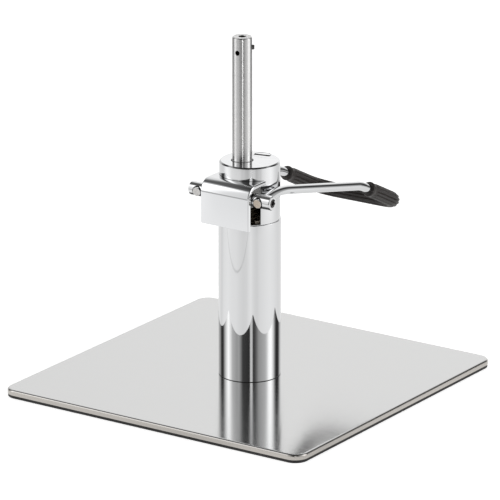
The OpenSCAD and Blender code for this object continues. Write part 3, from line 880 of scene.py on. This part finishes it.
def build_lever_shaft():
    r = lever_r
    c0, c1 = clips_hi.x - 1.6, clips_hi.x + 0.05

    def side(end):
        return [
            (0, arm_x), (5.6, arm_x), (5.6, end - 0.7), (6.2, end), (r - 1.0, end),
            (r - 0.85, end - 0.04), (r - 0.05, end - 0.9), (r, end - 1.1),
            (r, c1), (r - 0.8, c1), (r - 0.8, c0), (r, c0),
        ]

    profile = side(shaft_hi.x) + [(a, -b) for a, b in reversed(side(-shaft_lo.x))]
    obj = lathe("lever_shaft", profile, (0, pivot_y, pivot_z), (1, 0, 0), 192)
    axes = [((0, pivot_y, pivot_z), (1, 0, 0))]
    cuts = []
    holes = ((-arm_x, rod_r + 1.3, rod_way), (arm_x, rod_r + 1.3, rod_way), (finger_x, 4.52, Vector((0, 1, 0))))
    for x, hole, way in holes:
        o = (x, pivot_y, pivot_z)
        cuts.append(lathe("hole", [(0, -16), (hole, -16), (hole, 16), (0, 16)], o, way, 96))
        axes.append((o, way))
    cut(obj, *cuts)
    turned_normals(obj, axes)
    dress(obj, "chrome_plate", "lever", "cross_shaft")

    def in_hole(p):
        rel = Vector((abs(p.x) - arm_x, p.y - pivot_y, p.z - pivot_z))
        return (rel - rod_way * rel.dot(rod_way)).length < rod_r + 1.35

    # Painted shade in the holes for the arms of the pedal rod.
    return darken(obj, in_hole)


def corner_arc(a, b, c, radius, steps):
    """Points of a round corner at b between two straight runs."""
    t0, t1 = (b - a).normalized(), (c - b).normalized()
    turn = t0.angle(t1)
    back = radius * math.tan(turn / 2)
    start = b - t0 * back
    n = t0.cross(t1).normalized()
    inward = n.cross(t0)
    centre = start + inward * radius
    points = []
    for i in range(steps + 1):
        s = turn * i / steps
        points.append(centre - inward * (radius * math.cos(s)) + t0 * (radius * math.sin(s)))
    return points


def pedal_points():
    """Centre line of the pedal, from the front of the left arm to the front of the right arm."""
    pivot = Vector((arm_x, pivot_y, pivot_z))
    front = pivot - rod_way * (lever_r + 1)
    bend = pivot + rod_way * (45 / math.cos(rod_tilt))
    knee = Vector((pedal_half_w, pedal_reach - 104, pivot_z - 31))
    corner = Vector((pedal_half_w, pedal_reach, foot_z))
    middle = Vector((0, pedal_reach, foot_z))
    arm = [front] + corner_arc(front, bend, knee, 120, 20) + corner_arc(bend, knee, corner, 60, 14)
    sleeve_end = knee + (corner - knee).normalized() * 21
    foot = corner_arc(knee, corner, middle, 32, 24)
    return arm, sleeve_end, foot, middle


def fill(points, step):
    """Adds points so that no run is longer than a step."""
    out = [points[0]]
    for a, b in zip(points, points[1:]):
        n = max(1, math.ceil((b - a).length / step))
        out.extend(a.lerp(b, i / n) for i in range(1, n + 1))
    return out


def tube_rings(points, section):
    """Rings of a section carried along a line without twist. section(k, length) gives (angle, radius) pairs."""
    tangents = []
    for i in range(len(points)):
        a, b = points[max(i - 1, 0)], points[min(i + 1, len(points) - 1)]
        tangents.append((b - a).normalized())
    u = Vector((0, 0, 1)) - tangents[0] * tangents[0].z
    u.normalize()
    rings, length = [], 0.0
    for i, (p, t) in enumerate(zip(points, tangents)):
        if i:
            length += (p - points[i - 1]).length
            u = (u - t * u.dot(t)).normalized()
        v = t.cross(u)
        rings.append([p + u * (r * math.cos(a)) + v * (r * math.sin(a)) for a, r in section(length)])
    return rings


def mirrored(points):
    return [Vector((-p.x, p.y, p.z)) for p in points]


def build_pedal_rod():
    arm, _, foot, middle = pedal_points()
    half = arm + foot + [middle]
    whole = mirrored(half) + half[::-1][1:]
    points = fill(whole, 14)
    d0, d1 = (points[1] - points[0]).normalized(), (points[-2] - points[-1]).normalized()
    points = [points[0], points[0] + d0 * 0.15, points[0] + d0 * 0.5] + points[1:-1] + [
        points[-1] + d1 * 0.5, points[-1] + d1 * 0.15, points[-1]
    ]
    total = sum((b - a).length for a, b in zip(points, points[1:]))
    n = 56

    def section(length):
        near = min(length, total - length)
        r = rod_r - (0.45 if near < 0.01 else 0.12 if near < 0.2 else 0.0)
        return [(TAU * i / n, r) for i in range(n)]

    obj = ring_sweep("pedal_rod", tube_rings(points, section))
    crease_normals(obj, 60)
    dress(obj, "chrome_plate", "lever", "pedal_bar")
    obj.data.materials.append(MATERIALS["cut_steel"])
    for face in obj.data.polygons:
        if len(face.vertices) > 8:
            face.material_index = 1
    return obj


def build_grip():
    """Ribbed rubber sleeve with a plain collar at each end."""
    _, sleeve_end, foot, middle = pedal_points()
    half = [sleeve_end] + foot + [middle]
    whole = mirrored(half) + half[::-1][1:]
    points = fill(whole, 3.0)
    total = sum((b - a).length for a, b in zip(points, points[1:]))
    ribs, per_rib = 12, 10
    n = ribs * per_rib

    def section(length):
        near = min(length, total - length)
        grow = min(max((near - 9.5) / 6.0, 0.0), 1.0)
        grow = grow * grow * (3 - 2 * grow)
        groove = 0.5 * math.exp(-(((near - 9.0) / 1.5) ** 2))
        lip = 0.7 * math.exp(-(((near - 2.6) / 1.8) ** 2))
        out = []
        for i in range(n):
            a = TAU * i / n
            rib = abs(math.sin(a * ribs / 2)) ** 0.6
            r = grip_r - 0.75 + lip - groove
            r = r * (1 - grow) + (grip_r - 1.95 + 1.9 * rib) * grow
            out.append((a, min(r, grip_r - 0.03)))
        return out

    rings = tube_rings(points, section)

    d0 = (points[1] - points[0]).normalized()
    d1 = (points[-2] - points[-1]).normalized()
    rounded0 = [p - (p - points[0]).normalized() * 0.6 for p in rings[0]]
    rounded1 = [p - (p - points[-1]).normalized() * 0.6 for p in rings[-1]]
    lead = [p + d0 * 0.6 for p in rings[0]]
    tail = [p + d1 * 0.6 for p in rings[-1]]
    bore0 = [points[0] + (p - points[0]).normalized() * (rod_r + 0.06) for p in rings[0]]
    bore1 = [points[-1] + (p - points[-1]).normalized() * (rod_r + 0.06) for p in rings[-1]]
    deep0 = [p + d0 * 1.5 for p in bore0]
    deep1 = [p + d1 * 1.5 for p in bore1]
    outside = [deep0, bore0, rounded0, lead] + rings[1:-1] + [tail, rounded1, bore1, deep1]
    obj = ring_sweep("pedal_sleeve", outside, cap=False)
    crease_normals(obj, 70)
    return dress(obj, "grip_rubber", "lever", "pedal_grip")


build_lever_shaft()
build_pedal_rod()
build_grip()


# ---------------------------------------------------------------- plunger spring


def build_spring():
    """Wire spring, wound round the plunger, with closed ends."""
    x, y = (spring_lo.x + spring_hi.x) / 2, (spring_lo.y + spring_hi.y) / 2
    outer = (spring_hi.x - spring_lo.x) / 2
    wire = 1.05
    mean = outer - wire - 0.02
    z0, z1 = spring_lo.z + wire, spring_hi.z - wire
    turns, steps, n = 7.0, 32, 12
    rings = []
    count = int(turns * steps)
    for k in range(count + 1):
        s = k / count
        a = TAU * turns * s
        dead = 1.0 / turns
        live = min(max((s - dead) / (1 - 2 * dead), 0.0), 1.0)
        ends = min(s, dead) / dead + max(s - (1 - dead), 0.0) / dead
        z = z0 + (z1 - z0 - 4 * wire) * live + 2 * wire * ends
        centre = Vector((x + mean * math.cos(a), y + mean * math.sin(a), z))
        radial = Vector((math.cos(a), math.sin(a), 0))
        rings.append([
            centre + radial * (wire * math.cos(TAU * i / n)) + Vector((0, 0, wire * math.sin(TAU * i / n)))
            for i in range(n)
        ])
    obj = ring_sweep("plunger_coil", rings)
    crease_normals(obj, 60)
    dress(obj, "black_steel", "pump", "plunger_spring")
    # The coil takes the near-black painted shade.
    obj.data.materials[0] = MATERIALS["painted_shade_black"]
    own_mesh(obj)
    return obj


build_spring()


# ---------------------------------------------------------------- finishes of the CAD nodes that stay

# The plunger and its cap take the near-black painted shade.
FINISH = {"reservoir_lid": "greased_casting", "plunger": "painted_shade_black", "plunger_cap": "painted_shade_black"}
for node, obj in frame["nodes"].items():
    obj.data.materials.clear()
    obj.data.materials.append(MATERIALS[FINISH.get(node, slot_of[node])])


# ---------------------------------------------------------------- studio

# Levels of light by azimuth from the camera, in degrees, positive to the right.
# STUDIO holds the walls of the light tent.
STUDIO = [
    (-180, 1.10), (-143, 0.62), (-137, 0.38), (-128, 0.06), (-115, 0.06), (-107, 0.65), (-95, 1.50),
    (-86, 2.15), (-75, 1.50), (-67, 0.90), (-48, 0.62), (-41, 0.70), (-34, 0.43), (-26, 0.09),
    (0, 0.05), (2.2, 1.08), (9.6, 1.08), (11.2, 0.11), (18.5, 0.10), (26, 0.29), (33.6, 0.57),
    (49, 0.74), (58, 0.84), (66, 1.17), (75, 2.00), (86, 2.20), (95, 1.45), (107, 0.31),
    (114, 0.05), (128, 0.05), (138, 0.38), (150, 1.10),
]
# TABLE holds the table near the pump, EDGE its outer part, WALL the lowest part of the walls.
TABLE = [
    (-180, 0.90), (-137, 0.91), (-120, 0.85), (-107, 0.98), (-85, 1.04), (-66, 0.99), (-49, 0.97),
    (-34, 0.90), (-22, 0.86), (-11, 0.88), (-4, 0.96), (4, 1.02), (11, 0.93), (18, 0.87), (26, 0.85),
    (34, 0.92), (58, 1.00), (75, 1.04), (95, 1.00), (107, 0.95), (120, 0.90), (137, 0.88), (180, 0.90),
]
EDGE = [
    (-180, 0.90), (-130, 0.85), (-115, 0.86), (-102, 1.16), (-91, 1.23), (-80, 1.12), (-70, 0.95),
    (-53, 0.89), (-37, 0.86), (-29, 0.74), (-21, 0.73), (-13, 0.64), (-6, 0.61), (2, 0.78),
    (9, 0.82), (17, 0.79), (25, 0.61), (32, 0.70), (41, 0.77), (49, 0.97), (66, 1.14), (85, 1.24),
    (96, 1.12), (108, 0.96), (123, 0.83), (141, 0.82), (180, 0.90),
]
WALL = [
    (-180, 0.90), (-157, 0.80), (-135, 0.39), (-118, 0.30), (-105, 0.40), (-95, 0.60), (-85, 0.65),
    (-77, 0.55), (-70, 0.50), (-57, 0.45), (-44, 0.44), (-32, 0.50), (-20, 0.55), (-9, 0.30),
    (0, 0.30), (1.5, 4.30), (8.5, 4.30), (10, 0.15), (15, 0.15), (27, 0.37), (39, 0.44),
    (51, 0.55), (65, 0.80), (79, 0.95), (95, 1.25), (104, 1.00), (114, 0.45), (130, 0.25),
    (140, 0.36), (160, 0.80), (180, 0.90),
]
# Radius of the table that the pump stands on
TABLE_REACH = 1.13
# A straight dark line in the floor's glow, seen only in reflections: its direction and its distance from the
# pump
DARK_LINE_DIRECTION = (-0.2335, -0.9724, 0)
DARK_LINE_DISTANCE = 0.578


def azimuth_level(g, direction, stops, top):
    """Looks up a level by azimuth. The ramp holds level / top."""
    az = CAMERA_AZIMUTH
    towards = g.vector("DOT_PRODUCT", direction, (math.sin(az), -math.cos(az), 0))
    right = g.vector("DOT_PRODUCT", direction, (math.cos(az), math.sin(az), 0))
    angle = g.math("ARCTAN2", right, towards)
    place = g.math("MULTIPLY_ADD", angle, 1 / TAU, 0.5)
    ramp = g.ramp(place, [((a + 180) / 360, level / top) for a, level in stops])
    return g.math("MULTIPLY", ramp, top)


def build_world():
    world = bpy.data.worlds.new("studio")
    scene.world = world
    world.use_nodes = True
    g = Graph(world.node_tree)
    direction = g.add("ShaderNodeTexCoord").outputs["Generated"]
    up = g.split(direction)[2]
    level = azimuth_level(g, direction, STUDIO, 2.3)
    overhead = g.remap(up, math.sin(math.radians(42)), math.sin(math.radians(54)), 0.0, 1.0)
    zenith = g.remap(up, math.sin(math.radians(58)), math.sin(math.radians(66)), 0.12, 0.03)
    level = g.fade(level, zenith, overhead)
    background = g.add("ShaderNodeBackground", {"Color": rgb(1, 1, 1), "Strength": level})
    g.add("ShaderNodeOutputWorld", {"Surface": background.outputs[0]})


def build_floor():
    reach, n = 30000.0, 96
    verts = [(reach * math.cos(TAU * i / n), reach * math.sin(TAU * i / n), -0.05) for i in range(n)]
    obj = make_object("floor", verts, [list(range(n))])
    m, g = new_material("pale_floor")
    position = g.add("ShaderNodeNewGeometry").outputs["Position"]
    across = g.vector("LENGTH", g.stretch(position, (1, 1, 0)))
    pools = azimuth_level(g, position, TABLE, 5.0)
    for stops, near, far in (
        (EDGE, 0.75, 1.0),
        (WALL, TABLE_REACH, TABLE_REACH + 0.03),
        (STUDIO, 2.4, 2.7),
    ):
        pools = g.fade(pools, azimuth_level(g, position, stops, 5.0), g.remap(across, near, far, 0.0, 1.0))
    away = g.math("ABSOLUTE", g.math("SUBTRACT", across, TABLE_REACH))
    pools = g.math("MULTIPLY", pools, g.remap(away, 0.005, 0.02, 0.55, 1.0))
    # A straight dark line in the floor's glow, which only reflections see.
    dark_line = g.math("SUBTRACT", g.vector("DOT_PRODUCT", position, DARK_LINE_DIRECTION), DARK_LINE_DISTANCE)
    pools = g.math("MULTIPLY", pools, g.remap(g.math("ABSOLUTE", dark_line), 0.003, 0.008, 0.74, 1.0))
    camera_ray = g.add("ShaderNodeLightPath").outputs["Is Camera Ray"]
    seen = g.math("MULTIPLY", camera_ray, 0.75)
    mirrored_level = g.math("MULTIPLY", g.math("SUBTRACT", 1.0, camera_ray), pools)
    level = g.math("ADD", seen, mirrored_level)
    glow = g.add("ShaderNodeEmission", {"Color": rgb(1, 1, 1), "Strength": level})
    paper = g.add("ShaderNodeBsdfDiffuse", {"Color": rgb(0.9, 0.9, 0.9)})
    dark = g.add("ShaderNodeBsdfDiffuse", {"Color": rgb(0, 0, 0)})
    base = g.add("ShaderNodeMixShader", {0: camera_ray, 1: dark.outputs[0], 2: paper.outputs[0]})
    total = g.add("ShaderNodeAddShader", {0: glow.outputs[0], 1: base.outputs[0]})
    g.add("ShaderNodeOutputMaterial", {"Surface": total.outputs[0]})
    obj.data.materials.append(m)


def build_camera():
    az, el = CAMERA_AZIMUTH, CAMERA_ELEVATION
    back = Vector((math.sin(az) * math.cos(el), -math.cos(az) * math.cos(el), math.sin(el)))
    right = Vector((math.cos(az), math.sin(az), 0))
    up = back.cross(right)
    data = bpy.data.cameras.new("camera")
    data.lens = CAMERA_LENS
    data.sensor_width = 36.0
    data.clip_start, data.clip_end = 0.1, 200.0
    camera = bpy.data.objects.new("camera", data)
    scene.collection.objects.link(camera)
    camera.location = Vector((0, 0, plate_top * MM)) + back * 7.109 + up * 0.1728 + right * 0.0004
    camera.rotation_mode = "QUATERNION"
    camera.rotation_quaternion = (-back).to_track_quat("-Z", "Y")
    scene.camera = camera


build_world()
build_floor()
build_camera()
scene.view_settings.view_transform = "Standard"
